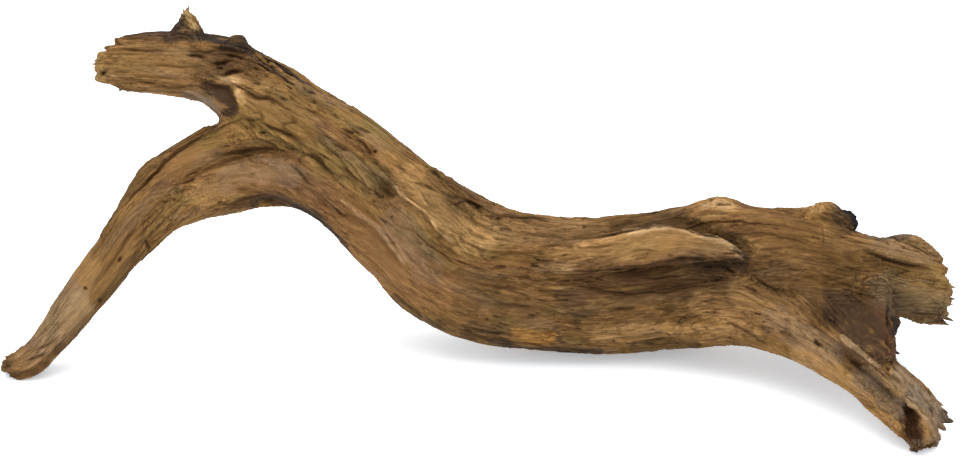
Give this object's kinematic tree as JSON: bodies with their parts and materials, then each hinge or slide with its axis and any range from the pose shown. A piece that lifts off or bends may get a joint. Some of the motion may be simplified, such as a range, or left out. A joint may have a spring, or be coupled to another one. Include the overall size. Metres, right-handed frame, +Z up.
{
  "type": "mangrove root",
  "caption": "Weathered driftwood root with an S-shaped trunk, an arching leg, a torn arm and a forked end; lies on its belly and feet as display or tank decoration.",
  "frame": {"origin": "on the floor that the root rests on, under the middle of its footprint's bounding box", "axes": "+X along the root from the left foot and torn arm to the forked end, +Y away from the side that carries the tongue, +Z up"},
  "size_m": [0.4969, 0.1903, 0.1783],
  "materials": {
    "trunk_wood": "dry, weathered, open grain",
    "left_arm_wood": "dry, torn straw-like fibres, charred upper edge",
    "left_leg_wood": "dry, weathered, open grain",
    "right_stub_wood": "dry, weathered, torn end",
    "right_leg_wood": "dry, weathered, partly rotten"
  },
  "bodies": {
    "root": {"trunk": "trunk_wood", "left_arm": "left_arm_wood", "left_leg": "left_leg_wood", "right_stub": "right_stub_wood", "right_leg": "right_leg_wood"}
  },
  "joints": []
}
